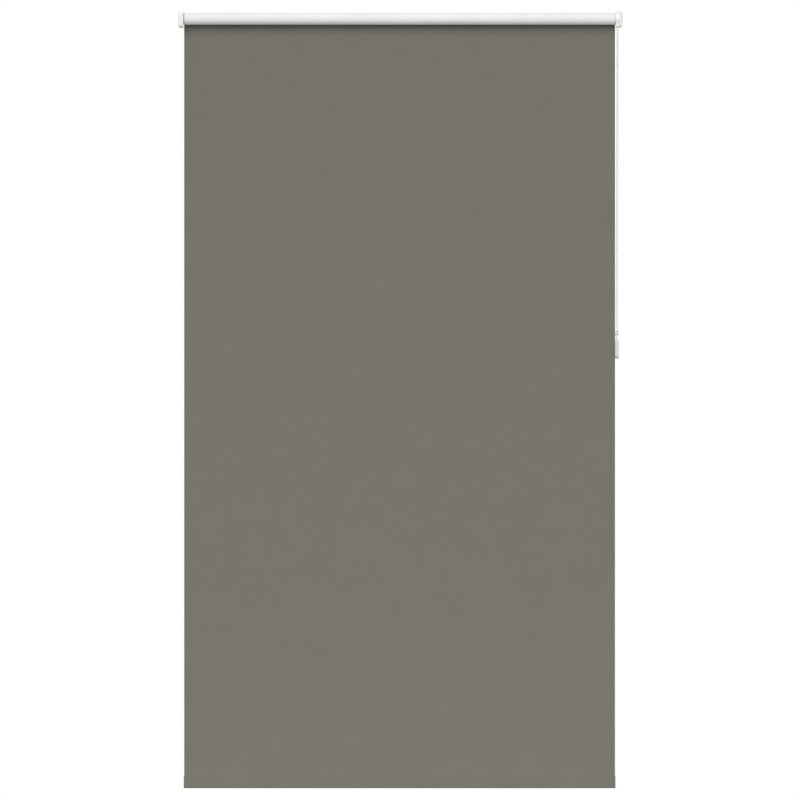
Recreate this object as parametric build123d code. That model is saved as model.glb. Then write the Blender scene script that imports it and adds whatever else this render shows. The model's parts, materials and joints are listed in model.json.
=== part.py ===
"""Roller blind with a bead-chain clutch, made as an assembly of its separate pieces.

Millimetres. X runs along the roller towards the chain side, +Y points at the wall and Z is up.
The origin is the centre of the four wall screw holes: on the wall plane, level with the roller's axis.
The blind is modelled fully lowered, with the cloth leaving the back of the roll.
"""
from build123d import *
import os
from math import asin, cos, degrees, pi, sin

# --- driving dimensions -----------------------------------------------------------------------
OVERALL_WIDTH = 1000.0  # over the two bracket covers
OVERALL_DROP = 1750.0  # top of the covers to the underside of the bottom bar
CLOTH_WIDTH = 971.0
CLOTH_THICKNESS = 0.3
CONTROL_END = 16.0  # cloth edge to the outer face of the chain-side cover
AXIS_TO_WALL = 28.0  # clears the fully wound roll
TUBE_RADIUS = 12.5
TUBE_WALL = 1.2
ROLL_RADIUS = 13.0  # tube and the last wraps, blind lowered
COVER_TOP = 16.5
COVER_BOTTOM = -19.5
COVER_DEPTH = 47.0
STEEL = 1.5  # bracket sheet
BEAD_DIAMETER = 4.5
BEAD_PITCH = 6.0
SPROCKET_POCKETS = 10
WHEEL_POCKETS = 6
TENSIONER_DROP = 756.0  # roller axis to the tensioner wheel's axis
LIFT_TRAVEL = 1670.0
LIFT_TURNS = 17

# --- stations worked out from them ------------------------------------------------------------
AXIS_Y = -AXIS_TO_WALL
CLOTH_RIGHT = OVERALL_WIDTH / 2 - CONTROL_END
CLOTH_LEFT = CLOTH_RIGHT - CLOTH_WIDTH
BOTTOM = COVER_TOP - OVERALL_DROP
PANEL_FRONT = AXIS_Y + ROLL_RADIUS + 0.05
PANEL_BACK = PANEL_FRONT + CLOTH_THICKNESS

# screw holes in the wall flanges
SCREW_X = 480.0
SCREW_Z = 8.0
SCREW_HOLE_RADIUS = 2.25

# chain side, outwards from the cloth edge
CHAIN_X = CLOTH_RIGHT + 5.5
CHAIN_PLATE = CLOTH_RIGHT + 10.4  # inner face of the bracket plate
HOUSING_INNER = CLOTH_RIGHT + 1.5
HOUSING_WALL = CLOTH_RIGHT + 9.0  # inner face of the housing's back wall

# idle side, outwards from the cloth edge
IDLE_PLATE = CLOTH_LEFT - 4.3  # inner face of the bracket plate
IDLE_COVER_EDGE = CLOTH_LEFT - 1.6  # the cover reaches over the plug's collar
PIN_RADIUS = 2.5

# chain
SPROCKET_PITCH = SPROCKET_POCKETS * BEAD_PITCH / (2 * pi)
WHEEL_PITCH = WHEEL_POCKETS * BEAD_PITCH / (2 * pi)
BEAD_RADIUS = BEAD_DIAMETER / 2
STRAND_LEAN = asin((SPROCKET_PITCH - WHEEL_PITCH) / TENSIONER_DROP)
WHEEL_X = CHAIN_X - 1.8  # the free tensioner hangs a little towards the cloth
WHEEL_Z = -TENSIONER_DROP

# bottom bar
HEM_HEIGHT = 27.0
HEM_DEPTH = 7.6
HEM_ROUND = 3.4
WELD_HEIGHT = 6.5
CAP_THICKNESS = 1.0

# fits
RUNNING_GAP = 0.08  # between a shaft and its bore, on the radius
CLOSE_GAP = 0.06
OVERCUT = 1.0  # how far a cutter runs past the face it cuts


# --- helpers ----------------------------------------------------------------------------------
def block(x0, x1, y0, y1, z0, z1):
    """Box between two opposite corners."""
    return Pos((x0 + x1) / 2, (y0 + y1) / 2, (z0 + z1) / 2) * Box(x1 - x0, y1 - y0, z1 - z0)


def rod(x0, x1, radius, y=AXIS_Y, z=0.0):
    """Round bar along X."""
    return Pos((x0 + x1) / 2, y, z) * Rot(0, 90, 0) * Cylinder(radius, x1 - x0)


def ring(x0, x1, outer, inner, y=AXIS_Y, z=0.0):
    """Tube along X."""
    return rod(x0, x1, outer, y, z) - rod(x0 - OVERCUT, x1 + OVERCUT, inner, y, z)


def slab(profile, x0, x1):
    """A YZ profile made solid between two X stations."""
    return extrude(Plane.YZ.offset(x0) * profile, amount=x1 - x0)


def outline(y0, y1, z0, z1, radius, square=()):
    """Rectangle in the YZ plane with round corners, apart from the corners named in square."""
    corners = {"back_low": (y1, z0), "back_high": (y1, z1), "front_high": (y0, z1), "front_low": (y0, z0)}
    face = Polygon(*corners.values(), align=None)
    rounded = [
        face.vertices().sort_by_distance((y, z, 0))[0]
        for name, (y, z) in corners.items()
        if name not in square
    ]
    return fillet(rounded, radius)


def save(shape, node):
    """Write one piece to its own file."""
    export_step(shape, f"parts/{node}.step")


# --- brackets and their covers ----------------------------------------------------------------
PLATE_LOW = -17.5
PLATE_HIGH = 14.5
PLATE_DEPTH = 44.0
PLATE_ROUND = 6.0
PLATE_BACK = -4.0  # the full-height part of the plate stops short of the wall
FLANGE_REACH = 26.0
FLANGE_HALF_HEIGHT = 12.0
FOLD_OUTER = 2.3
FOLD_INNER = 0.8
COVER_WALL = 1.5
COVER_UPPER_ROUND = 3.6
COVER_LOWER_ROUND = 5.0
COVER_NOSE_ROUND = 3.0
COVER_SIDE_ROUND = 6.0
CLIP_START = 0.4  # clips grip the plate's edges, measured outwards from its inner face
CLIP_END = 3.4
CLIP_FRONT = -30.0
CLIP_BACK = -22.0
CHAIN_COVER_GAP = 0.2  # between the clutch housing and the cover beside it


def bracket(inner_face, side):
    """Angle of folded steel: a side plate that carries the roller and a flange against the wall."""
    outer_face = inner_face + side * STEEL
    flange_end = outer_face - side * FLANGE_REACH
    angle = Polygon(
        (outer_face, -PLATE_DEPTH / 2),
        (outer_face, 0),
        (flange_end, 0),
        (flange_end, -STEEL),
        (inner_face, -STEEL),
        (inner_face, -PLATE_DEPTH / 2),
        align=None,
    )
    angle = fillet(angle.vertices().sort_by_distance((outer_face, 0, 0))[0], FOLD_OUTER)
    angle = fillet(angle.vertices().sort_by_distance((inner_face, -STEEL, 0))[0], FOLD_INNER)
    folded = extrude(angle, amount=FLANGE_HALF_HEIGHT, both=True)
    square = ("back_low", "back_high")
    plate_edge = outline(-PLATE_DEPTH, PLATE_BACK, PLATE_LOW, PLATE_HIGH, PLATE_ROUND, square)
    plate = slab(plate_edge, *sorted((inner_face, outer_face)))
    screws = [
        Pos(side * SCREW_X, 0, z) * Rot(90, 0, 0) * Cylinder(SCREW_HOLE_RADIUS, 4 * STEEL)
        for z in (-SCREW_Z, SCREW_Z)
    ]
    return folded + plate - screws


def cover(inner_edge, plate_face, outer_edge):
    """Domed plastic shell over a bracket, open towards the cloth and towards the wall."""
    side = 1 if outer_edge > inner_edge else -1
    shell = dome(inner_edge, outer_edge, 0)
    shell -= dome(inner_edge - side * OVERCUT, outer_edge, COVER_WALL)
    grip = sorted((plate_face + side * CLIP_START, plate_face + side * CLIP_END))
    spans = ((PLATE_HIGH, COVER_TOP - COVER_WALL), (COVER_BOTTOM + COVER_WALL, PLATE_LOW))
    return shell + [block(*grip, CLIP_FRONT, CLIP_BACK, *span) for span in spans]


def dome(inner_edge, outer_edge, inset):
    """Solid form of a cover, or of the space in it: its outer corners are round seen from the
    front, the lower one more so, and its front corners are round seen from the side and above."""
    side = 1 if outer_edge > inner_edge else -1
    outer = outer_edge - side * inset
    high, low = COVER_TOP - inset, COVER_BOTTOM + inset
    front, back = -COVER_DEPTH + inset, OVERCUT * (inset > 0)
    face = Polygon((inner_edge, high), (outer, high), (outer, low), (inner_edge, low), align=None)
    face = fillet(face.vertices().sort_by_distance((outer, high, 0))[0], COVER_UPPER_ROUND - inset)
    face = fillet(face.vertices().sort_by_distance((outer, low, 0))[0], COVER_LOWER_ROUND - inset)
    along_y = extrude(Plane.XZ * face, amount=2 * COVER_DEPTH, both=True)
    profile = outline(front, back, low, high, COVER_SIDE_ROUND - inset, ("back_low", "back_high"))
    solid = along_y & slab(profile, *sorted((inner_edge, outer)))
    plan = Polygon((inner_edge, front), (outer, front), (outer, back), (inner_edge, back), align=None)
    plan = fillet(plan.vertices().sort_by_distance((outer, front, 0))[0], COVER_NOSE_ROUND - inset)
    return solid & extrude(plan, amount=OVERALL_DROP, both=True)


def brackets():
    """The two brackets differ only in the cut-outs for the idle pin and for the clutch."""
    idle = bracket(IDLE_PLATE, -1)
    idle -= rod(IDLE_PLATE - 2 * STEEL, IDLE_PLATE + OVERCUT, PIN_RADIUS + RUNNING_GAP)
    save(idle, "bracket_left")
    chain = bracket(CHAIN_PLATE, 1)
    for lug in clutch_lugs(LUG_GAP):
        chain -= lug
    save(chain, "bracket_right")
    save(cover(IDLE_COVER_EDGE, IDLE_PLATE, -OVERALL_WIDTH / 2), "bracket_cover_left")
    save(cover(CHAIN_PLATE + CHAIN_COVER_GAP, CHAIN_PLATE, OVERALL_WIDTH / 2), "bracket_cover_right")


# --- roller and cloth -------------------------------------------------------------------------
TAPE_THICKNESS = 0.15
TAPE_ANGLE = 70.0


def roller():
    """Aluminium tube, the tape that holds the cloth to it, and the last wraps of cloth."""
    save(ring(CLOTH_LEFT, CLOTH_RIGHT, TUBE_RADIUS, TUBE_RADIUS - TUBE_WALL), "roller_tube")
    tape_profile = Pos(TUBE_RADIUS + TAPE_THICKNESS / 2, 0) * Rectangle(TAPE_THICKNESS, CLOTH_WIDTH)
    middle = (CLOTH_LEFT + CLOTH_RIGHT) / 2
    start = Plane(origin=(middle, AXIS_Y, 0), x_dir=(0, -1, 0), z_dir=(0, 0, 1))
    spin = Axis((0, AXIS_Y, 0), (1, 0, 0))
    tape = revolve(start * tape_profile, spin, revolution_arc=TAPE_ANGLE)
    save(tape, "cloth_tape")
    wraps = ring(CLOTH_LEFT, CLOTH_RIGHT, ROLL_RADIUS, TUBE_RADIUS) - tape
    save(wraps, "cloth_roll")


def cloth():
    """The hanging cloth, and the pocket at its foot that is folded to the back and welded."""
    top_of_hem = BOTTOM + HEM_HEIGHT
    save(block(CLOTH_LEFT, CLOTH_RIGHT, PANEL_FRONT, PANEL_BACK, top_of_hem, 0), "cloth_panel")
    pocket = hem_outline(0) - hem_outline(CLOTH_THICKNESS)
    hem = slab(pocket, CLOTH_LEFT, CLOTH_RIGHT)
    tab_low = top_of_hem - CLOTH_THICKNESS / 3
    tab_high = top_of_hem + WELD_HEIGHT
    tab_back = PANEL_BACK + CLOTH_THICKNESS
    tab = block(CLOTH_LEFT, CLOTH_RIGHT, PANEL_BACK, tab_back, tab_low, tab_high)
    save(hem + tab, "cloth_hem")


def hem_outline(inset):
    """Outline of the pocket: a flat front that carries on from the cloth, and rounded elsewhere."""
    return outline(
        PANEL_FRONT + inset,
        PANEL_FRONT + HEM_DEPTH - inset,
        BOTTOM + inset,
        BOTTOM + HEM_HEIGHT - inset,
        HEM_ROUND - inset,
        ("front_high",),
    )


# --- bottom bar -------------------------------------------------------------------------------
BAR_WALL = 1.2
CAP_PLUG = 14.0
CAP_ROUND = 0.6


def bottom_bar():
    """Hollow aluminium bar in the cloth pocket, closed by a plastic cap at each end."""
    section = hem_outline(CLOTH_THICKNESS) - hem_outline(CLOTH_THICKNESS + BAR_WALL)
    save(slab(section, CLOTH_LEFT, CLOTH_RIGHT), "bottom_bar")
    for node, edge, side in (("left", CLOTH_LEFT, -1), ("right", CLOTH_RIGHT, 1)):
        plate = slab(hem_outline(0), *sorted((edge, edge + side * CAP_THICKNESS)))
        plate = fillet(plate.faces().sort_by(Axis.X)[-1 if side > 0 else 0].edges(), CAP_ROUND)
        plug = slab(hem_outline(CLOTH_THICKNESS + BAR_WALL), *sorted((edge, edge - side * CAP_PLUG)))
        save(plate + plug, f"bottom_bar_cap_{node}")


# --- idle end ---------------------------------------------------------------------------------
CHAMBER_START = 6.0
CHAMBER_END = 34.0
CHAMBER_RADIUS = 4.6
PLUG_END = 38.0
PLUG_RADIUS = TUBE_RADIUS - TUBE_WALL
COLLAR = 1.5
NOSE_RADIUS = 5.0
NOSE_GAP = 0.3  # between the plug's nose and the bracket
PIN_TIP = 2.6  # how far the pin reaches through the bracket's inner face
PIN_TAIL = 4.0
PIN_CHAMFER = 0.6
SHOULDER_START = CHAMBER_START + 0.2
SHOULDER_LENGTH = 2.0
SHOULDER_RADIUS = 4.4
COIL_RADIUS = 4.2
COIL_BORE = PIN_RADIUS + 0.3
COIL_GAP = 0.1


def idle_end():
    """Plug in the tube with a spring-loaded pin that snaps into the bracket."""
    edge = CLOTH_LEFT
    plug_end = edge + PLUG_END
    plug = rod(edge, plug_end, PLUG_RADIUS)
    plug += rod(edge - COLLAR, edge, TUBE_RADIUS)
    plug += rod(IDLE_PLATE + NOSE_GAP, edge - COLLAR, NOSE_RADIUS)
    plug -= rod(edge + CHAMBER_START, edge + CHAMBER_END, CHAMBER_RADIUS)
    plug -= rod(IDLE_PLATE - OVERCUT, plug_end + OVERCUT, PIN_RADIUS + CLOSE_GAP)
    save(plug, "idle_end_plug")
    shoulder = edge + SHOULDER_START
    pin = rod(IDLE_PLATE - PIN_TIP, plug_end + PIN_TAIL, PIN_RADIUS)
    pin = chamfer(pin.faces().sort_by(Axis.X)[0].edges(), PIN_CHAMFER)
    pin += rod(shoulder, shoulder + SHOULDER_LENGTH, SHOULDER_RADIUS)
    save(pin, "idle_pin")
    coil_start = shoulder + SHOULDER_LENGTH + COIL_GAP
    save(ring(coil_start, edge + CHAMBER_END - COIL_GAP, COIL_RADIUS, COIL_BORE), "idle_spring")


# --- clutch at the chain side -----------------------------------------------------------------
FLANGE_RADIUS = 9.0
SPINDLE_RADIUS = 5.0
TIP_RADIUS = 3.0
TIP_START = 6.0  # from the sleeve's inner end
TIP_END = -3.0
LUG_HALF_WIDTH = 3.0
LUG_HALF_HEIGHT = 1.6
LUG_Z = 5.0
LUG_REACH = 1.0  # past the bracket plate
LUG_GAP = 0.1
RETAINER_RADIUS = 6.0
RETAINER_SPAN = (-2.0, -0.3)  # from the sleeve's inner end
SLEEVE_LENGTH = 45.0
SLEEVE_FLOOR = 5.0
SLEEVE_COLLAR = 1.0
SLEEVE_BORE = 7.2
SPROCKET_START = 1.3  # from the cloth edge
SPROCKET_GAP = 0.3  # to the housing's back wall
SPROCKET_RADIUS = 11.4
SPROCKET_HUB = 6.9
SPROCKET_HUB_REACH = 10.0
GROOVE_HALF_WIDTH = 2.4
BEAD_GAP = 0.1  # under the chain in a groove
POCKET_RADIUS = 2.6
POCKET_DEPTH = 0.3
WRAP_COUNT = 4
WRAP_START = 11.0
WRAP_LENGTH = 5.5
WRAP_PITCH = 6.0
WRAP_RADIUS = 6.4


def clutch_lugs(clearance):
    """The two lugs that hook the spindle into the bracket plate, grown by the clearance."""
    half_width = LUG_HALF_WIDTH + clearance
    half_height = LUG_HALF_HEIGHT + clearance
    return [
        block(
            CHAIN_PLATE - clearance,
            CHAIN_PLATE + STEEL + LUG_REACH,
            AXIS_Y - half_width,
            AXIS_Y + half_width,
            z - half_height,
            z + half_height,
        )
        for z in (-LUG_Z, LUG_Z)
    ]


def spindle():
    """Fixed spindle with its flange, the lugs for the bracket, and the ring that keeps the sleeve on."""
    inner_end = CLOTH_RIGHT - SLEEVE_LENGTH
    shaft = rod(HOUSING_WALL, CHAIN_PLATE, FLANGE_RADIUS)
    shaft += rod(inner_end + TIP_START, HOUSING_WALL, SPINDLE_RADIUS)
    shaft += rod(inner_end + TIP_END, inner_end + TIP_START, TIP_RADIUS)
    for lug in clutch_lugs(0):
        shaft += lug
    save(shaft, "clutch_spindle")
    span = [inner_end + offset for offset in RETAINER_SPAN]
    save(ring(*span, RETAINER_RADIUS, TIP_RADIUS), "clutch_retainer")


def drive_sleeve():
    """Sleeve that grips the tube and is turned by the wrap springs."""
    edge = CLOTH_RIGHT
    inner_end = edge - SLEEVE_LENGTH
    sleeve = rod(inner_end, edge, PLUG_RADIUS)
    sleeve += rod(edge, edge + SLEEVE_COLLAR, TUBE_RADIUS)
    sleeve -= rod(inner_end + SLEEVE_FLOOR, edge + SLEEVE_COLLAR + OVERCUT, SLEEVE_BORE)
    sleeve -= rod(inner_end - OVERCUT, edge, TIP_RADIUS + CLOSE_GAP)
    save(sleeve, "clutch_drive_sleeve")


def groove(x, z, outer, pitch_radius):
    """Channel for the chain round a wheel, a little deeper than the beads lie."""
    floor = pitch_radius - BEAD_RADIUS - BEAD_GAP
    return ring(x - GROOVE_HALF_WIDTH, x + GROOVE_HALF_WIDTH, outer + OVERCUT, floor, z=z)


def pockets(count, pitch_radius, x, z):
    """Round hollows that the beads drop into, evenly spaced round a chain wheel."""
    half_width = GROOVE_HALF_WIDTH + POCKET_DEPTH
    seats = []
    for turn in range(count):
        angle = 2 * pi * turn / count
        seat_y = AXIS_Y + pitch_radius * cos(angle)
        seat_z = z + pitch_radius * sin(angle)
        seats.append(rod(x - half_width, x + half_width, POCKET_RADIUS, seat_y, seat_z))
    return seats


def sprocket():
    """Chain wheel that turns on the spindle, with the wrap springs on its hub's line."""
    edge = CLOTH_RIGHT
    wheel = rod(edge + SPROCKET_START, HOUSING_WALL - SPROCKET_GAP, SPROCKET_RADIUS)
    wheel -= groove(CHAIN_X, 0, SPROCKET_RADIUS, SPROCKET_PITCH)
    for pocket in pockets(SPROCKET_POCKETS, SPROCKET_PITCH, CHAIN_X, 0):
        wheel -= pocket
    wheel += rod(edge - SPROCKET_HUB_REACH, edge + SPROCKET_START, SPROCKET_HUB)
    wheel -= rod(edge - SPROCKET_HUB_REACH - OVERCUT, HOUSING_WALL, SPINDLE_RADIUS + RUNNING_GAP)
    save(wheel, "chain_sprocket")
    springs = []
    for turn in range(WRAP_COUNT):
        high = edge - WRAP_START - WRAP_PITCH * turn
        springs.append(ring(high - WRAP_LENGTH, high, WRAP_RADIUS, SPINDLE_RADIUS + RUNNING_GAP))
    save(Compound(children=springs), "clutch_wrap_springs")


HOUSING_BORE = 12.7
HOUSING_HALF_DEPTH = 14.6
HOUSING_ROUND = 4.0
MOUTH_GAP = 0.8  # each side of the beads


def clutch_housing():
    """Chain guard round the sprocket: round above, straight below, with two mouths for the chain."""
    front, back = AXIS_Y - HOUSING_HALF_DEPTH, AXIS_Y + HOUSING_HALF_DEPTH
    outer = Pos(AXIS_Y, 0) * Circle(COVER_TOP)
    outer += outline(front, back, COVER_BOTTOM, 0, HOUSING_ROUND, ("front_high", "back_high"))
    inner = Pos(AXIS_Y, 0) * Circle(HOUSING_BORE)
    for side in (-1, 1):
        centre = AXIS_Y + side * SPROCKET_PITCH
        mouth = Rectangle(2 * (BEAD_RADIUS + MOUTH_GAP), -COVER_BOTTOM + 2 * OVERCUT)
        inner += Pos(centre, COVER_BOTTOM / 2) * mouth
    guard = slab(outer, HOUSING_INNER, CHAIN_PLATE)
    guard -= slab(inner, HOUSING_INNER - OVERCUT, HOUSING_WALL)
    guard -= rod(HOUSING_WALL - OVERCUT, CHAIN_PLATE + OVERCUT, FLANGE_RADIUS + LUG_GAP)
    save(guard, "clutch_housing")


# --- chain ------------------------------------------------------------------------------------
CONNECTOR_LENGTH = 11.0
CONNECTOR_TOP = -704.0
CONNECTOR_RADIUS = 3.1
CONNECTOR_ROUND = 0.9
CONNECTOR_GAP = 0.03


def tangent_points(side):
    """Ends of one strand, where it touches the sprocket and the tensioner wheel."""
    outward = Vector(0, side * cos(STRAND_LEAN), -sin(STRAND_LEAN))
    upper = Vector(CHAIN_X, AXIS_Y, 0) + outward * SPROCKET_PITCH
    lower = Vector(WHEEL_X, AXIS_Y, WHEEL_Z) + outward * WHEEL_PITCH
    return upper, lower


def strand(side):
    """One straight strand, pulled tight by the tensioner."""
    upper, lower = tangent_points(side)
    along = lower - upper
    up_from = Plane(origin=upper, z_dir=along)
    return up_from * Cylinder(BEAD_RADIUS, along.length, align=(Align.CENTER, Align.CENTER, Align.MIN))


def turn_round(centre_x, centre_z, radius, start, arc):
    """The chain's arc round a wheel, from the angle start, measured from +Y towards +Z."""
    centre = (centre_x, AXIS_Y, centre_z)
    outward = (0, cos(start), sin(start))
    forward = (0, -sin(start), cos(start))
    section = Plane(origin=centre, x_dir=outward, z_dir=forward) * Pos(radius, 0) * Circle(BEAD_RADIUS)
    return revolve(section, Axis(centre, (1, 0, 0)), revolution_arc=arc)


def chain():
    """Closed loop of bead chain, as plain tubes: two strands and the turns round the two wheels."""
    save(strand(-1), "bead_chain_front")
    save(strand(1), "bead_chain_back")
    over = pi + 2 * STRAND_LEAN
    under = pi - 2 * STRAND_LEAN
    upper_turn = turn_round(CHAIN_X, 0, SPROCKET_PITCH, -STRAND_LEAN, degrees(over))
    save(upper_turn, "bead_chain_upper_turn")
    lower_turn = turn_round(WHEEL_X, WHEEL_Z, WHEEL_PITCH, pi + STRAND_LEAN, degrees(under))
    save(lower_turn, "bead_chain_lower_turn")
    upper, lower = tangent_points(1)
    along = lower - upper
    start = upper + along * ((upper.Z - CONNECTOR_TOP) / (upper.Z - lower.Z))
    seat = Plane(origin=start, z_dir=along)
    base = (Align.CENTER, Align.CENTER, Align.MIN)
    barrel = Cylinder(CONNECTOR_RADIUS, CONNECTOR_LENGTH, align=base)
    barrel = fillet(barrel.edges().filter_by(GeomType.CIRCLE), CONNECTOR_ROUND)
    bore = Cylinder(BEAD_RADIUS + CONNECTOR_GAP, CONNECTOR_LENGTH + 2 * OVERCUT, align=base)
    barrel -= Pos(0, 0, -OVERCUT) * bore
    save(seat * barrel, "chain_connector")
    loop = 2 * along.length + over * SPROCKET_PITCH + under * WHEEL_PITCH
    print(f"strand {along.length:.2f} mm, loop {loop:.2f} mm, {loop / BEAD_PITCH:.2f} beads")
    print(f"turn radii {SPROCKET_PITCH:.3f} mm and {WHEEL_PITCH:.3f} mm")
    tube = pi * BEAD_RADIUS**2 * along.length
    print(f"strand tube volume / section x length = {strand(1).volume / tube:.4f}")


# --- tensioner --------------------------------------------------------------------------------
CASE_HALF_WIDTH = 4.0
CASE_RADIUS = 9.3
CASE_TOP = -723.0
CASE_CORNER = 2.5
CASE_EDGE_ROUND = 1.2
AXLE_RADIUS = 1.5
FIXING_Z = -736.0
FIXING_RADIUS = 2.1
WHEEL_HALF_WIDTH = 3.0
WHEEL_RADIUS = 7.2
WHEEL_CHAMBER_HALF_WIDTH = 3.15
WHEEL_CHAMBER_RADIUS = 7.6
LANE_HALF_WIDTH = 2.5
LANE_RADIUS = 8.1  # round the foot of the wheel, outside the beads
LANE_OFFSET = 0.1
BRIDGE_DEPTH = 12.0  # joins the two lanes above the wheel
BRIDGE_HEIGHT = 10.0


def chain_run():
    """Space in the tensioner case for the wheel and for the chain that goes down, round and up."""
    low, high = WHEEL_X - LANE_HALF_WIDTH, WHEEL_X + LANE_HALF_WIDTH
    half_width = WHEEL_CHAMBER_HALF_WIDTH
    run = rod(WHEEL_X - half_width, WHEEL_X + half_width, WHEEL_CHAMBER_RADIUS, z=WHEEL_Z)
    run += slab(Pos(AXIS_Y, WHEEL_Z) * Circle(LANE_RADIUS), low, high)
    lane = Rectangle(2 * LANE_HALF_WIDTH, CASE_TOP - WHEEL_Z + 2 * OVERCUT)
    for side in (-1, 1):
        centre = AXIS_Y + side * (WHEEL_PITCH + LANE_OFFSET)
        run += slab(Pos(centre, (WHEEL_Z + CASE_TOP) / 2 + OVERCUT) * lane, low, high)
    bridge = Pos(AXIS_Y, WHEEL_Z + BRIDGE_HEIGHT / 2) * Rectangle(BRIDGE_DEPTH, BRIDGE_HEIGHT)
    return run + slab(bridge, low, high)


def tensioner():
    """Two-part case that keeps the loop tight, with a grooved wheel on a steel axle."""
    front, back = AXIS_Y - CASE_RADIUS, AXIS_Y + CASE_RADIUS
    shape = outline(front, back, WHEEL_Z, CASE_TOP, CASE_CORNER, ("front_low", "back_low"))
    shape += Pos(AXIS_Y, WHEEL_Z) * Circle(CASE_RADIUS)
    run = chain_run()
    case_low, case_high = WHEEL_X - CASE_HALF_WIDTH, WHEEL_X + CASE_HALF_WIDTH
    axle_hole = rod(case_low - OVERCUT, case_high + OVERCUT, AXLE_RADIUS, z=WHEEL_Z)
    fixing_hole = rod(case_low - OVERCUT, case_high + OVERCUT, FIXING_RADIUS, z=FIXING_Z)
    halves = {"left": (case_low, WHEEL_X, 0), "right": (WHEEL_X, case_high, -1)}
    for node, (low, high, outer) in halves.items():
        half = slab(shape, low, high)
        half = fillet(half.faces().sort_by(Axis.X)[outer].edges(), CASE_EDGE_ROUND)
        save(half - run - axle_hole - fixing_hole, f"tensioner_case_{node}")
    wheel = rod(WHEEL_X - WHEEL_HALF_WIDTH, WHEEL_X + WHEEL_HALF_WIDTH, WHEEL_RADIUS, z=WHEEL_Z)
    wheel -= groove(WHEEL_X, WHEEL_Z, WHEEL_RADIUS, WHEEL_PITCH)
    for pocket in pockets(WHEEL_POCKETS, WHEEL_PITCH, WHEEL_X, WHEEL_Z):
        wheel -= pocket
    wheel -= rod(case_low, case_high, AXLE_RADIUS + CLOSE_GAP, z=WHEEL_Z)
    save(wheel, "tensioner_wheel")
    save(rod(case_low, case_high, AXLE_RADIUS, z=WHEEL_Z), "tensioner_axle")


os.makedirs("parts", exist_ok=True)
brackets()
roller()
cloth()
bottom_bar()
idle_end()
spindle()
drive_sleeve()
sprocket()
clutch_housing()
chain()
tensioner()
wound = (ROLL_RADIUS**2 + LIFT_TRAVEL * CLOTH_THICKNESS / pi) ** 0.5
turns = LIFT_TRAVEL / (pi * (ROLL_RADIUS + wound))
print(f"wound roll radius {wound:.2f} mm, {turns:.2f} turns for the travel, taken as {LIFT_TURNS}")
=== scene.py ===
"""Looks of the roller blind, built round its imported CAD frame. Metres, with the frame's axes:
X along the roller towards the chain, +Y into the wall, Z up, origin level with the roller's axis."""
import json
from math import cos, pi, radians, sin

import bmesh
import bpy
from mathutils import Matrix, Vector


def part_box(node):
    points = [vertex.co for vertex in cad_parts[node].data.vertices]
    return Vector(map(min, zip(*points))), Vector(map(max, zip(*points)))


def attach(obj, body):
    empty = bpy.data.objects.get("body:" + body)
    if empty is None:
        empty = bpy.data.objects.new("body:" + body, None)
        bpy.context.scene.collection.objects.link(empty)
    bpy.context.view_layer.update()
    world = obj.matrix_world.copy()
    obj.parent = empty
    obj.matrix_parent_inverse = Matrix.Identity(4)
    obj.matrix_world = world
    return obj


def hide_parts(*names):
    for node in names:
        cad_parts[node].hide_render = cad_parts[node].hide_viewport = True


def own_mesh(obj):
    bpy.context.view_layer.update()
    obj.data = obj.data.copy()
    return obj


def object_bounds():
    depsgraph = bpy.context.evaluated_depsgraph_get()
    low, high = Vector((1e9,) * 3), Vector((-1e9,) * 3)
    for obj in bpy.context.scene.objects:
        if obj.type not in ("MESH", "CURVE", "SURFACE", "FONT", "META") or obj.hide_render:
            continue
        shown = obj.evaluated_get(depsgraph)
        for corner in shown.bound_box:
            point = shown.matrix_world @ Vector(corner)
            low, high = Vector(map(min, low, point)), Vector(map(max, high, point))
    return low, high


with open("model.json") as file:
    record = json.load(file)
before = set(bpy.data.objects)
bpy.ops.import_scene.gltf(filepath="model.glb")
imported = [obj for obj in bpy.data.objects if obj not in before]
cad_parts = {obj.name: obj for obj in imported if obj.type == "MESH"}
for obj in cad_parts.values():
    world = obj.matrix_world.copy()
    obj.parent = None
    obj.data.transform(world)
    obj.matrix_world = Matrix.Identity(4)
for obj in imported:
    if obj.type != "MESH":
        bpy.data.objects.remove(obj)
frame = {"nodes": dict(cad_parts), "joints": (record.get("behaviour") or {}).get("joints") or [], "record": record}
cad_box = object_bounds()
NODES = frame["nodes"]
MM = 0.001

# --- what the frame says ----------------------------------------------------------------------
PANEL_LOW, PANEL_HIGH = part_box("cloth_panel")
HEM_LOW, HEM_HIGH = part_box("cloth_hem")
ROLL_LOW, ROLL_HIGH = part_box("cloth_roll")
CLOTH_LEFT, CLOTH_RIGHT = PANEL_LOW.x, PANEL_HIGH.x
CLOTH_THICKNESS = PANEL_HIGH.y - PANEL_LOW.y
PANEL_Y = (PANEL_LOW.y + PANEL_HIGH.y) / 2
AXIS_Y = (ROLL_LOW.y + ROLL_HIGH.y) / 2
CLOTH_DROP = PANEL_HIGH.z - PANEL_LOW.z


def travel(name):
    """How far that sliding joint goes, in metres."""
    return next(joint for joint in frame["joints"] if joint["name"] == name)["range_m"][1]


LIFT = travel("cloth_lift")


# --- camera, lights and surroundings ----------------------------------------------------------
VIEW_WIDTH = 1.803  # what the picture's width spans at the cloth
VIEW_OFFSET = -0.0006  # the blind stands this much right of the picture's middle
VIEW_DISTANCE = 24.0  # a long lens: hardly any perspective
AMBIENT_STRENGTH = 0.36  # lights the blind; the camera itself sees plain white behind it
SUN_ENERGY = 2.2
SUN_SPREAD = 0.8  # radians: a wide source, so its shadows are soft
SUN_FROM = (-0.2, -1.05, 0.75)
FLOOR_SIZE = 4.0
FLOOR_PLACE = (0, -0.5, -2.3)
FLOOR_COLOR = (0.80, 0.80, 0.79)


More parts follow.
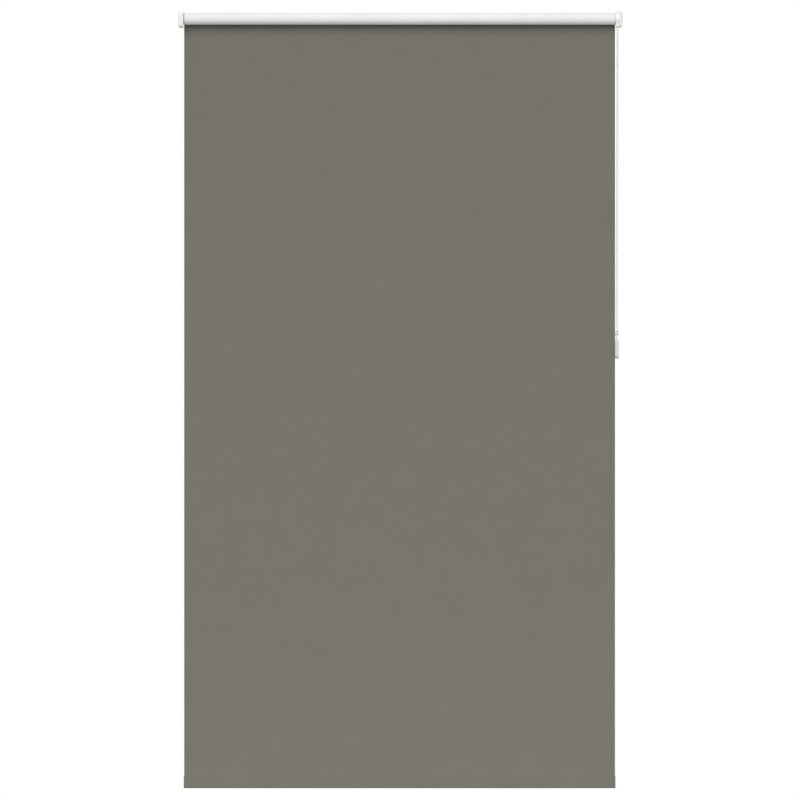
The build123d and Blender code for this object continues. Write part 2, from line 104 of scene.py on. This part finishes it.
def camera():
    """Straight on, level with the middle of the blind."""
    data = bpy.data.cameras.new("camera")
    data.sensor_width = 36.0
    data.lens = data.sensor_width * VIEW_DISTANCE / VIEW_WIDTH
    data.clip_end = 100.0
    obj = bpy.data.objects.new("camera", data)
    bpy.context.scene.collection.objects.link(obj)
    middle = (cad_box[0] + cad_box[1]) / 2
    obj.location = (middle.x + VIEW_OFFSET, PANEL_LOW.y - VIEW_DISTANCE, middle.z)
    obj.rotation_euler = (pi / 2, 0, 0)
    bpy.context.scene.camera = obj


def surroundings():
    """White backdrop light, a soft key light from above, and a pale floor well below the blind."""
    scene = bpy.context.scene
    scene.view_settings.view_transform = "Standard"
    world = bpy.data.worlds.new("studio")
    scene.world = world
    world.use_nodes = True
    tree = world.node_tree
    ambient = tree.nodes["Background"]
    ambient.inputs["Color"].default_value = (1.0, 1.0, 1.0, 1.0)
    ambient.inputs["Strength"].default_value = AMBIENT_STRENGTH
    seen = tree.nodes.new("ShaderNodeBackground")
    seen.inputs["Color"].default_value = (1.0, 1.0, 1.0, 1.0)
    path = tree.nodes.new("ShaderNodeLightPath")
    mix = tree.nodes.new("ShaderNodeMixShader")
    tree.links.new(path.outputs["Is Camera Ray"], mix.inputs[0])
    tree.links.new(ambient.outputs[0], mix.inputs[1])
    tree.links.new(seen.outputs[0], mix.inputs[2])
    tree.links.new(mix.outputs[0], tree.nodes["World Output"].inputs["Surface"])

    sun = bpy.data.lights.new("key", "SUN")
    sun.energy = SUN_ENERGY
    sun.angle = SUN_SPREAD
    key = bpy.data.objects.new("key", sun)
    scene.collection.objects.link(key)
    key.rotation_euler = Vector(SUN_FROM).to_track_quat("Z", "Y").to_euler()

    bpy.ops.mesh.primitive_grid_add(
        x_subdivisions=2,
        y_subdivisions=2,
        size=FLOOR_SIZE,
        location=FLOOR_PLACE,
    )
    floor = bpy.context.object
    floor.name = "floor"
    floor.data.materials.append(plain("floor_paint", FLOOR_COLOR, 0.7))


# --- materials --------------------------------------------------------------------------------
def shader(name, color, roughness):
    """A new material with its tree, its main shader and its object-space coordinates."""
    material = bpy.data.materials.new(name)
    material.use_nodes = True
    tree = material.node_tree
    bsdf = tree.nodes["Principled BSDF"]
    bsdf.inputs["Base Color"].default_value = (*color, 1.0)
    bsdf.inputs["Roughness"].default_value = roughness
    place = tree.nodes.new("ShaderNodeTexCoord").outputs["Object"]
    return material, tree, bsdf, place


def plain(name, color, roughness):
    """Paint with a faint unevenness."""
    material, tree, bsdf, place = shader(name, color, roughness)
    vary(tree, bsdf, noise(tree, place, scale=3.0), color, low=0.96, high=1.03)
    return material


def noise(tree, place, scale, detail=3.0, stretch=(1, 1, 1)):
    """Noise of so many cells a metre, drawn out along the axes whose stretch is low."""
    mapping = tree.nodes.new("ShaderNodeMapping")
    mapping.inputs["Scale"].default_value = stretch
    texture = tree.nodes.new("ShaderNodeTexNoise")
    texture.inputs["Scale"].default_value = scale
    texture.inputs["Detail"].default_value = detail
    tree.links.new(place, mapping.inputs["Vector"])
    tree.links.new(mapping.outputs[0], texture.inputs["Vector"])
    return texture.outputs["Fac"]


def threads(tree, place, axis, pitch):
    """Bands across one axis, one for each thread."""
    wave = tree.nodes.new("ShaderNodeTexWave")
    wave.bands_direction = axis
    wave.wave_profile = "SIN"
    wave.inputs["Scale"].default_value = pi / 10 / pitch
    wave.inputs["Distortion"].default_value = 0.6
    wave.inputs["Detail"].default_value = 1.0
    tree.links.new(place, wave.inputs["Vector"])
    return wave.outputs["Fac"]


def combine(tree, operation, a, b):
    """One math node. Each side is a socket or a number."""
    node = tree.nodes.new("ShaderNodeMath")
    node.operation = operation
    for socket, value in zip(node.inputs, (a, b)):
        if hasattr(value, "links"):
            tree.links.new(value, socket)
        else:
            socket.default_value = value
    return node.outputs[0]


def vary(tree, bsdf, factor, color, low, high):
    """Shade the colour between low and high times its value, as factor goes from 0.25 to 0.75."""
    ramp = tree.nodes.new("ShaderNodeValToRGB")
    ramp.color_ramp.elements[0].position = 0.25
    ramp.color_ramp.elements[1].position = 0.75
    ramp.color_ramp.elements[0].color = (*[low * c for c in color], 1.0)
    ramp.color_ramp.elements[1].color = (*[min(1.0, high * c) for c in color], 1.0)
    tree.links.new(factor, ramp.inputs[0])
    tree.links.new(ramp.outputs[0], bsdf.inputs["Base Color"])


def bump(tree, bsdf, height, distance, strength=1.0):
    """Relief of so many metres."""
    node = tree.nodes.new("ShaderNodeBump")
    node.inputs["Distance"].default_value = distance
    node.inputs["Strength"].default_value = strength
    tree.links.new(height, node.inputs["Height"])
    tree.links.new(node.outputs[0], bsdf.inputs["Normal"])


def rough(tree, bsdf, factor, low, high):
    """Roughness between low and high."""
    span = tree.nodes.new("ShaderNodeMapRange")
    span.inputs["To Min"].default_value = low
    span.inputs["To Max"].default_value = high
    tree.links.new(factor, span.inputs["Value"])
    tree.links.new(span.outputs[0], bsdf.inputs["Roughness"])


THREAD_PITCH = 0.55 * MM
SLUB_SCALE = 900.0
CLOTH_COLOR = (0.182, 0.1725, 0.153)
COATING_COLOR = (0.85, 0.85, 0.84)
WHITE_COLOR = (0.90, 0.90, 0.89)


def woven(name, color, pitch, relief):
    """Plain weave: two sets of threads, slubs along them, and a little mottling."""
    material, tree, bsdf, place = shader(name, color, 0.86)
    warp = threads(tree, place, "X", pitch)
    weft = threads(tree, place, "Z", pitch)
    slub_down = noise(tree, place, SLUB_SCALE, detail=2.0, stretch=(1, 1, 0.03))
    slub_across = noise(tree, place, SLUB_SCALE, detail=2.0, stretch=(0.03, 1, 1))
    slubs = combine(tree, "MULTIPLY", combine(tree, "ADD", slub_down, slub_across), 0.5)
    weave = combine(tree, "MAXIMUM", warp, weft)
    mottle = noise(tree, place, scale=14.0, detail=4.0)
    thread_share = combine(tree, "MULTIPLY", slubs, 0.7)
    mottle_share = combine(tree, "MULTIPLY", mottle, 0.3)
    mixed = combine(tree, "ADD", thread_share, mottle_share)
    vary(tree, bsdf, mixed, color, low=0.93, high=1.07)
    height = combine(tree, "ADD", weave, combine(tree, "MULTIPLY", slubs, 0.8))
    bump(tree, bsdf, height, relief, strength=0.6)
    rough(tree, bsdf, weave, low=0.92, high=0.80)
    bsdf.inputs["Sheen Weight"].default_value = 0.08
    bsdf.inputs["Sheen Roughness"].default_value = 0.6
    bsdf.inputs["Specular IOR Level"].default_value = 0.2
    return material


def moulded(name, color, roughness, grain=0.02):
    """Moulded plastic: faint orange-peel, uneven gloss and slow colour drift."""
    material, tree, bsdf, place = shader(name, color, roughness)
    drift = noise(tree, place, scale=40.0)
    gloss = noise(tree, place, scale=220.0, detail=4.0)
    peel = noise(tree, place, scale=1500.0)
    vary(tree, bsdf, drift, color, low=0.97, high=1.02)
    rough(tree, bsdf, gloss, low=roughness - 0.06, high=roughness + 0.08)
    bump(tree, bsdf, peel, grain * MM, strength=0.5)
    return material


def metal(name, color, roughness, along, grain=0.01):
    """Drawn or rolled metal with lines along one axis."""
    material, tree, bsdf, place = shader(name, color, roughness)
    bsdf.inputs["Metallic"].default_value = 1.0
    stretch = [0.02 if axis == along else 1.0 for axis in "XYZ"]
    lines = noise(tree, place, scale=1200.0, detail=4.0, stretch=stretch)
    vary(tree, bsdf, lines, color, low=0.9, high=1.05)
    rough(tree, bsdf, lines, low=roughness - 0.08, high=roughness + 0.12)
    bump(tree, bsdf, lines, grain * MM, strength=0.6)
    return material


def clear(name, color, roughness, transmission):
    """Translucent moulded plastic."""
    material, tree, bsdf, place = shader(name, color, roughness)
    drift = noise(tree, place, scale=90.0)
    gloss = noise(tree, place, scale=500.0)
    peel = noise(tree, place, scale=900.0, detail=2.0)
    vary(tree, bsdf, drift, color, low=0.96, high=1.02)
    rough(tree, bsdf, gloss, low=roughness - 0.05, high=roughness + 0.1)
    bump(tree, bsdf, peel, 0.02 * MM, strength=0.4)
    bsdf.inputs["Transmission Weight"].default_value = transmission
    bsdf.inputs["IOR"].default_value = 1.46
    return material


def materials():
    """Every finish on the blind, by the record's slot."""
    return {
        "cloth": woven("cloth", CLOTH_COLOR, THREAD_PITCH, relief=0.05 * MM),
        "cloth_back": woven("cloth_back", COATING_COLOR, THREAD_PITCH, relief=0.02 * MM),
        "white_plastic": moulded("white_plastic", WHITE_COLOR, 0.38),
        "white_acetal": moulded("white_acetal", (0.80, 0.80, 0.78), 0.45),
        "grey_plastic": moulded("grey_plastic", (0.175, 0.168, 0.152), 0.5),
        "chain_plastic": moulded("chain_plastic", (0.90, 0.90, 0.88), 0.3),
        "clear_plastic": clear("clear_plastic", (0.92, 0.93, 0.90), 0.3, transmission=0.25),
        "aluminium": metal("aluminium", (0.78, 0.79, 0.80), 0.32, along="X"),
        "zinc_steel": metal("zinc_steel", (0.60, 0.61, 0.62), 0.42, along="Z"),
        "spring_steel": metal("spring_steel", (0.50, 0.50, 0.51), 0.30, along="X"),
        "tape": moulded("tape", (0.70, 0.66, 0.55), 0.6),
    }


def dress(finishes):
    """Give every CAD node the finish that its record slot names."""
    for entry in frame["record"]["subparts"]:
        node = NODES[entry["node"]]
        node.data.materials.clear()
        node.data.materials.append(finishes[entry["material_slot"]])


# --- mesh helpers -----------------------------------------------------------------------------
CUT_EDGE_ANGLE = radians(50)  # sharper than this and the edge isn't shaded smooth


def piece(name, verts, faces, finishes, picks=None):
    """A smooth-shaded mesh object. picks gives each face's finish by number."""
    mesh = bpy.data.meshes.new(name)
    mesh.from_pydata([tuple(v) for v in verts], [], faces)
    for finish in finishes:
        mesh.materials.append(finish)
    if picks:
        mesh.polygons.foreach_set("material_index", picks)
    mesh.validate()
    mesh.polygons.foreach_set("use_smooth", [True] * len(mesh.polygons))
    mesh.set_sharp_from_angle(angle=CUT_EDGE_ANGLE)
    mesh.update()
    obj = bpy.data.objects.new(name, mesh)
    bpy.context.scene.collection.objects.link(obj)
    return obj


def ribbon(name, line, thickness, stations, finishes, wave=None):
    """Cloth of that thickness along a line in the YZ plane, drawn out along X.
    The left-hand side of the line takes the first finish and the right-hand side the second."""
    normals = []
    for index in range(len(line)):
        before = Vector(line[max(index - 1, 0)])
        after = Vector(line[min(index + 1, len(line) - 1)])
        along = (after - before).normalized()
        normals.append(Vector((-along.y, along.x)))
    left = [Vector(p) + n * thickness / 2 for p, n in zip(line, normals)]
    right = [Vector(p) - n * thickness / 2 for p, n in zip(line, normals)]
    loop = left + right[::-1]
    count, half = len(loop), len(line)
    verts, faces, picks = [], [], []
    for x in stations:
        for point in loop:
            shift = wave(x, point.y) if wave else 0.0
            verts.append((x, point.x + shift, point.y))
    for row in range(len(stations) - 1):
        for index in range(count):
            following = (index + 1) % count
            start, end = row * count, (row + 1) * count
            faces.append((start + index, end + index, end + following, start + following))
            picks.append(0 if index < half else 1)
    last = len(verts) - count
    for index in range(half - 1):
        cut = (index, index + 1, count - 2 - index, count - 1 - index)
        faces.append(cut)
        faces.append(tuple(last + corner for corner in cut[::-1]))
        picks += [0, 0]
    return piece(name, verts, faces, finishes, picks)


def spread(low, high, count):
    """Evenly spaced values, both ends included."""
    return [low + (high - low) * step / count for step in range(count + 1)]


def arc(centre, radius, start, end, count):
    """Points of an arc in the YZ plane, with angles from +Y towards +Z."""
    return [(centre[0] + radius * cos(a), centre[1] + radius * sin(a)) for a in spread(start, end, count)]


def spread_line(start, end, count):
    """Points along a straight line in the YZ plane."""
    return [tuple(Vector(start).lerp(Vector(end), step / count)) for step in range(count + 1)]


# --- chain ------------------------------------------------------------------------------------
BEAD_DIAMETER = 4.5 * MM
BEAD_PITCH = 6.0 * MM
FREE_PITCHES = 255
SPROCKET_POCKETS = 10
LINK_RADIUS = 0.65 * MM
BEAD_NECK = 0.32  # radians from the cord's line to where the bead's round starts
BEAD_SIDES = 14
# the sprocket's front, down to the tensioner wheel, round it and up to the sprocket's back
CHAIN_ROUTE = [
    (0.4895, -0.03755, 0.0),
    (0.48771, -0.03374, -0.75362),
    (0.4877, -0.03373, -0.75837),
    (0.4877, -0.03037, -0.76173),
    (0.4877, -0.02563, -0.76173),
    (0.4877, -0.02227, -0.75837),
    (0.48771, -0.02226, -0.75362),
    (0.4895, -0.01845, 0.0),
]


def route_points():
    """Points along the chain's smooth route."""
    curve = bpy.data.curves.new("chain_route", "CURVE")
    curve.dimensions = "3D"
    curve.resolution_u = 64
    spline = curve.splines.new("NURBS")
    spline.points.add(len(CHAIN_ROUTE) - 1)
    for point, place in zip(spline.points, CHAIN_ROUTE):
        point.co = (*place, 1.0)
    spline.order_u = 3
    spline.use_endpoint_u = True
    guide = bpy.data.objects.new("chain_route", curve)
    mesh = bpy.data.meshes.new_from_object(guide)
    points = [v.co.copy() for v in mesh.vertices]
    bpy.data.objects.remove(guide)
    bpy.data.curves.remove(curve)
    bpy.data.meshes.remove(mesh)
    return points


def walk(points, count):
    """Places at equal steps along a line, each with its direction."""
    lengths = [0.0]
    for a, b in zip(points, points[1:]):
        lengths.append(lengths[-1] + (b - a).length)
    places, segment = [], 0
    for step in range(count + 1):
        target = lengths[-1] * step / count
        while segment < len(points) - 2 and lengths[segment + 1] < target:
            segment += 1
        a, b = points[segment], points[segment + 1]
        share = (target - lengths[segment]) / (lengths[segment + 1] - lengths[segment])
        places.append((a.lerp(b, min(max(share, 0.0), 1.0)), (b - a).normalized()))
    return places


def bead_profile():
    """Half outline of one bead along its cord: (distance along, radius), with small collars."""
    radius = BEAD_DIAMETER / 2
    rings = [(-radius * cos(a), radius * sin(a)) for a in spread(BEAD_NECK, pi - BEAD_NECK, 8)]
    reach = BEAD_PITCH / 2
    return [(-reach, LINK_RADIUS)] + rings + [(reach, LINK_RADIUS)]


def beads(name, places, finish):
    """One mesh for a run of beads on their cord."""
    sides = BEAD_SIDES
    profile = bead_profile()
    verts, faces = [], []
    for centre, along in places:
        across = Vector((1, 0, 0))
        across = (across - along * across.dot(along)).normalized()
        third = along.cross(across)
        base = len(verts)
        for distance, radius in profile:
            for side in range(sides):
                turn = 2 * pi * side / sides
                ring = across * cos(turn) + third * sin(turn)
                verts.append(centre + along * distance + ring * radius)
        for row in range(len(profile) - 1):
            for side in range(sides):
                following = (side + 1) % sides
                low, high = base + row * sides, base + (row + 1) * sides
                faces.append((low + side, low + following, high + following, high + side))
        faces.append(tuple(base + side for side in range(sides))[::-1])
        last = base + (len(profile) - 1) * sides
        faces.append(tuple(last + side for side in range(sides)))
    return piece(name, verts, faces, [finish])


def over_sprocket(finishes):
    """Four beads in the sprocket's upper pockets, between the free loop's two ends."""
    pocket_radius = SPROCKET_POCKETS * BEAD_PITCH / (2 * pi)
    hub = Vector((CHAIN_ROUTE[0][0], AXIS_Y, 0))
    seats = []
    for pocket in range(1, SPROCKET_POCKETS // 2):
        turn = 2 * pi * pocket / SPROCKET_POCKETS
        outward = Vector((0, cos(turn), sin(turn)))
        forward = Vector((0, -sin(turn), cos(turn)))
        seats.append((hub + outward * pocket_radius, forward))
    upper = beads("bead_chain_over_sprocket", seats, finishes["chain_plastic"])
    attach(upper, "mounting")
    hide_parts("bead_chain_upper_turn")
    return upper


def chain(finishes):
    """The free loop as beads along its route, and the few that lie on the sprocket."""
    upper = over_sprocket(finishes)
    points = route_points()
    free = beads("bead_chain_loop", walk(points, FREE_PITCHES), finishes["chain_plastic"])
    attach(free, "mounting")
    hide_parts("bead_chain_front", "bead_chain_back", "bead_chain_lower_turn")


# --- cloth ------------------------------------------------------------------------------------
WELD_PITCH = 1.3 * MM
WELD_RELIEF = 0.05 * MM
TAB_BEHIND = 1.02  # thicknesses from the middle of the sheet to the middle of the tab
FOOT_SPARE = 1.15  # how much higher the flat foot reaches than the tab, with the cloth raised
WRAPS = 1.8  # turns of cloth left on the tube
WRAP_SHARE = 0.94  # the wraps are this much of the cloth's thickness, so they stay apart
WAVE_HEIGHT = 0.35 * MM
# slow folds across the cloth: metres from crest to crest, lean over the drop, share and start
FOLDS = [(0.61, 0.4, 1.0, 0.0), (0.27, -0.7, 0.6, 1.3)]
HANGING_ROWS, WELD_ROWS = 90, 40


def weld_ribs(x, z):
    """Lines pressed into the band where the cloth's foot is welded to its own back.
    They run the whole width, so they are the same at every x."""
    if not PANEL_LOW.z < z < HEM_HIGH.z:
        return 0.0
    return WELD_RELIEF * sin(2 * pi * (z - PANEL_LOW.z) / WELD_PITCH)


def hang_wave(x, z):
    """The slight unevenness of cloth that hangs from a roll and is weighted by a bar.
    The bar keeps the foot flat, as high as the welded tab reaches when the cloth is raised."""
    drop = (PANEL_HIGH.z - z) / CLOTH_DROP
    loose = 1 - FOOT_SPARE * (HEM_HIGH.z - PANEL_LOW.z) / (CLOTH_DROP - LIFT)
    free = max(0.0, drop * (loose - drop)) * 4 / loose ** 2
    folds = 0.0
    for pitch, lean, share, start in FOLDS:
        folds += share * sin(2 * pi * (x / pitch + lean * drop) + start)
    return WAVE_HEIGHT * free * folds + weld_ribs(x, z)


def hanging_cloth(finishes):
    """The lowered cloth, dark in front and coated white behind."""
    heights = spread(PANEL_HIGH.z, HEM_HIGH.z, HANGING_ROWS)
    heights += spread(HEM_HIGH.z, PANEL_LOW.z, WELD_ROWS)[1:]
    line = [(PANEL_Y, z) for z in heights]
    panel = ribbon(
        "cloth_sheet",
        line,
        CLOTH_THICKNESS,
        spread(CLOTH_LEFT, CLOTH_RIGHT, 64),
        [finishes["cloth_back"], finishes["cloth"]],
        hang_wave,
    )
    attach(panel, "lift")
    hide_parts("cloth_panel")
    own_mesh(panel)
    return panel


def wound_cloth(finishes):
    """The last wraps of cloth as a spiral that ends where the hanging cloth begins."""
    outer = PANEL_Y - AXIS_Y
    spiral = []
    for turn in spread(WRAPS, 0.0, 220):
        radius = outer - CLOTH_THICKNESS * turn
        angle = 2 * pi * turn
        spiral.append((AXIS_Y + radius * cos(angle), radius * sin(angle)))
    roll = ribbon(
        "cloth_wraps",
        spiral,
        CLOTH_THICKNESS * WRAP_SHARE,
        spread(CLOTH_LEFT, CLOTH_RIGHT, 32),
        [finishes["cloth_back"], finishes["cloth"]],
    )
    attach(roll, "roller")
    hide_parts("cloth_roll")
    return roll


def hem_pocket(finishes):
    """The foot of the cloth, turned to the back round the bar and welded above it."""
    half = CLOTH_THICKNESS / 2
    front, back = HEM_LOW.y + half, HEM_HIGH.y - half
    low = HEM_LOW.z + half
    high = PANEL_LOW.z - half
    bend = 3.2 * MM
    fold = 0.9 * MM
    tab = front + CLOTH_THICKNESS * TAB_BEHIND
    line = [(front, PANEL_LOW.z), (front, PANEL_LOW.z - 3 * MM)]
    line += spread_line((front, high - 6 * MM), (front, low + bend), 6)
    line += arc((front + bend, low + bend), bend, pi, 1.5 * pi, 8)
    line += arc((back - bend, low + bend), bend, 1.5 * pi, 2 * pi, 8)
    line += arc((back - bend, high - bend), bend, 0, 0.5 * pi, 8)
    line += arc((tab + fold, high + fold), fold, 1.5 * pi, pi, 5)
    line += spread_line((tab, high + fold), (tab, HEM_HIGH.z), WELD_ROWS)[1:]
    pocket = ribbon(
        "hem_pocket",
        line,
        CLOTH_THICKNESS,
        spread(CLOTH_LEFT, CLOTH_RIGHT, 48),
        [finishes["cloth_back"], finishes["cloth"]],
        weld_ribs,
    )
    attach(pocket, "lift")
    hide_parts("cloth_hem")
    return pocket


def cloth(finishes):
    """One sheet of cloth in three pieces: wound, hanging and turned round the bar."""
    wraps = wound_cloth(finishes)
    pocket = hem_pocket(finishes)
    panel = hanging_cloth(finishes)


# --- moulded pieces with rounded edges --------------------------------------------------------
SAME_POINT = 0.001 * MM
SLIVER = 0.01 * MM  # faces narrower than this are taken out
FLAT_ANGLE = radians(1)
ROUNDED_ANGLE = radians(28)  # edges that turn more than this are rounded
CREASE_ANGLE = radians(40)


def softened(name, node, body, width, finishes):
    """A moulded piece with its sharp edges rounded, in the place of its CAD node."""
    shape = bmesh.new()
    shape.from_mesh(NODES[node].data)
    bmesh.ops.remove_doubles(shape, verts=shape.verts, dist=SAME_POINT)
    bmesh.ops.dissolve_limit(shape, angle_limit=FLAT_ANGLE, verts=shape.verts, edges=shape.edges)
    sharp = [e for e in shape.edges if e.is_manifold and e.calc_face_angle() > ROUNDED_ANGLE]
    bmesh.ops.bevel(
        shape,
        geom=sharp,
        offset=width,
        offset_type="OFFSET",
        segments=3,
        profile=0.5,
        affect="EDGES",
        clamp_overlap=True,
    )
    bmesh.ops.remove_doubles(shape, verts=shape.verts, dist=SLIVER)
    bmesh.ops.dissolve_degenerate(shape, dist=SLIVER, edges=shape.edges)
    bmesh.ops.triangulate(shape, faces=[f for f in shape.faces if len(f.verts) > 4])
    bmesh.ops.recalc_face_normals(shape, faces=shape.faces)
    mesh = bpy.data.meshes.new(name)
    shape.to_mesh(mesh)
    shape.free()
    slot = next(e["material_slot"] for e in frame["record"]["subparts"] if e["node"] == node)
    mesh.materials.clear()
    mesh.materials.append(finishes[slot])
    mesh.polygons.foreach_set("use_smooth", [True] * len(mesh.polygons))
    mesh.polygons.foreach_set("material_index", [0] * len(mesh.polygons))
    mesh.set_sharp_from_angle(angle=CREASE_ANGLE)
    obj = bpy.data.objects.new(name, mesh)
    bpy.context.scene.collection.objects.link(obj)
    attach(obj, body)
    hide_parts(node)
    return obj


def moulded_pieces(finishes):
    """Covers, clutch housing and tensioner case, as they come out of a mould."""
    for side in ("left", "right"):
        softened(f"cover_shell_{side}", f"bracket_cover_{side}", "mounting", 0.7 * MM, finishes)
        softened(f"tensioner_shell_{side}", f"tensioner_case_{side}", "mounting", 0.25 * MM, finishes)
    softened("clutch_guard", "clutch_housing", "mounting", 0.5 * MM, finishes)


# --- springs ----------------------------------------------------------------------------------
def coil(centre_y, start, end, radius, wire, turns):
    """Vertices and faces of a wire wound about a line along X, with closed ends."""
    steps, sides = 28, 10
    verts, faces = [], []
    count = round(turns * steps)
    for step in range(count + 1):
        share = step / count
        angle = 2 * pi * turns * share
        outward = Vector((0, cos(angle), sin(angle)))
        middle = Vector((start + wire + (end - start - 2 * wire) * share, centre_y, 0)) + outward * radius
        for side in range(sides):
            turn = 2 * pi * side / sides
            verts.append(middle + outward * (wire * cos(turn)) + Vector((wire * sin(turn), 0, 0)))
    for step in range(count):
        for side in range(sides):
            following = (side + 1) % sides
            low, high = step * sides, (step + 1) * sides
            faces.append((low + side, high + side, high + following, low + following))
    faces.append(tuple(range(sides)))
    faces.append(tuple(range(count * sides, (count + 1) * sides))[::-1])
    return verts, faces


def pin_spring_coil(finishes):
    """The compression spring that presses the idle pin out."""
    low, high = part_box("idle_spring")
    wire = 0.45 * MM
    middle = (high.z - low.z) / 2 - wire
    verts, faces = coil(AXIS_Y, low.x, high.x, middle, wire, turns=9.5)
    pin_spring = piece("pin_spring_coil", verts, faces, [finishes["spring_steel"]])
    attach(pin_spring, "roller")
    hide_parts("idle_spring")
    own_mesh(pin_spring)


def wrap_spring_coils(finishes):
    """The close-wound springs on the clutch spindle, side by side."""
    low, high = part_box("clutch_wrap_springs")
    count, gap, wire = 4, 0.5 * MM, 0.55 * MM
    length = (high.x - low.x - (count - 1) * gap) / count
    turns = (length - 2 * wire) / (2 * wire)
    middle = (high.z - low.z) / 2 - wire
    verts, faces = [], []
    for index in range(count):
        start = low.x + index * (length + gap)
        points, sides = coil(AXIS_Y, start, start + length, middle, wire, turns)
        faces += [tuple(len(verts) + corner for corner in face) for face in sides]
        verts += points
    wraps = piece("wrap_spring_coils", verts, faces, [finishes["spring_steel"]])
    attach(wraps, "sprocket")
    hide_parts("clutch_wrap_springs")


finishes = materials()
camera()
surroundings()
dress(finishes)
chain(finishes)
cloth(finishes)
moulded_pieces(finishes)
pin_spring_coil(finishes)
wrap_spring_coils(finishes)
